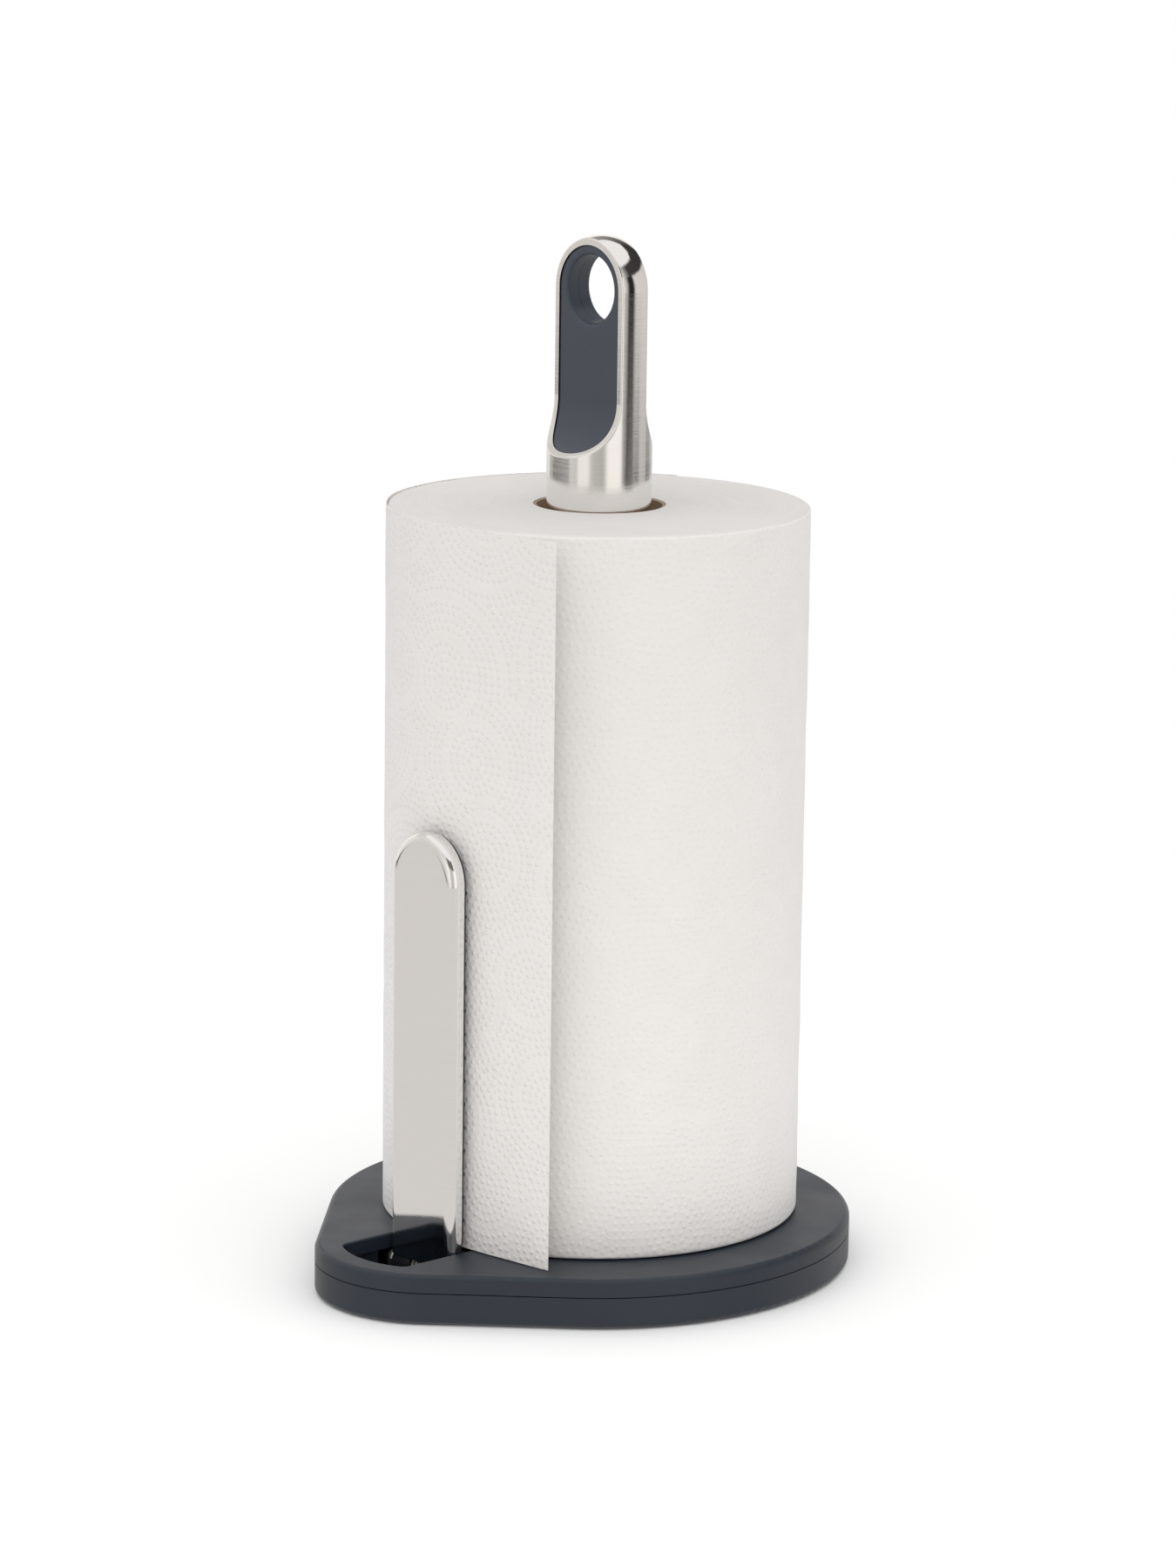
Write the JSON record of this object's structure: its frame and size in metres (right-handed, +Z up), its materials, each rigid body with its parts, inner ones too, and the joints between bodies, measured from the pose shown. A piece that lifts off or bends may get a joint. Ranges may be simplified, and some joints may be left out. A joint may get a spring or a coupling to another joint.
{
  "type": "paper towel holder",
  "caption": "Standing kitchen roll holder with a weighted teardrop base, a pole with a ring handle, a sprung arm that presses on the paper, and a loaded roll.",
  "frame": {"origin": "on the pole's axis, at the surface that the base stands on", "axes": "+Z up along the pole; the sprung arm and the base's corner are towards -Y; the paper's loose flap is on the +X side of the arm"},
  "size_m": [0.168, 0.1875, 0.3291],
  "materials": {
    "base_plastic": "matte",
    "insert_plastic": "matte",
    "inner_plastic": "matte",
    "brushed_metal": "satin",
    "polished_metal": "polished",
    "plain_steel": "satin",
    "cast_alloy": "satin",
    "silicone": "matte",
    "foot_rubber": "matte",
    "bush_plastic": "satin",
    "tissue_paper": "matte",
    "core_board": "matte"
  },
  "bodies": {
    "holder": {"base_top_cover": "base_plastic", "base_lower_shell": "base_plastic", "ballast_plate": "plain_steel", "non_slip_feet": "foot_rubber", "base_screws": "plain_steel", "pole_tube": "brushed_metal", "pole_bottom_plug": "cast_alloy", "locating_dowel": "plain_steel", "tie_rod": "plain_steel", "tie_rod_washer": "plain_steel", "tie_rod_nut": "plain_steel", "nut_cap": "foot_rubber", "handle_casting": "brushed_metal", "handle_insert_front": "insert_plastic", "handle_insert_back": "insert_plastic", "hinge_bracket": "plain_steel", "bracket_screws": "plain_steel", "pivot_pin": "plain_steel", "pin_clips": "plain_steel", "torsion_spring": "plain_steel", "stop_bumper": "foot_rubber"},
    "arm": {"arm_cover": "polished_metal", "arm_core": "inner_plastic", "arm_grip_pad": "silicone", "arm_screws": "plain_steel", "pivot_bushes": "bush_plastic"},
    "top_sheet": {"loose_sheet": "tissue_paper"},
    "kitchen_roll": {"roll_core": "core_board", "paper_winding": "tissue_paper"}
  },
  "joints": [
    {"name": "arm_swing", "type": "hinge", "parent": "holder", "child": "arm", "pos_m": [0, -0.0676, 0.0074], "axis": [1, 0, 0], "range_deg": [0, 40], "stiffness_Nm_per_rad": 0.25, "springref_deg": -34.38, "deforming": ["torsion_spring"]},
    {"name": "roll_lift", "type": "slide", "parent": "holder", "child": "top_sheet", "axis": [0, 0, 1], "range_m": [0, 0.32]},
    {"name": "roll_spin", "type": "hinge", "parent": "top_sheet", "child": "kitchen_roll", "pos_m": [-0.0021, 0.0022, 0.13], "axis": [0, 0, 1], "continuous": true}
  ]
}
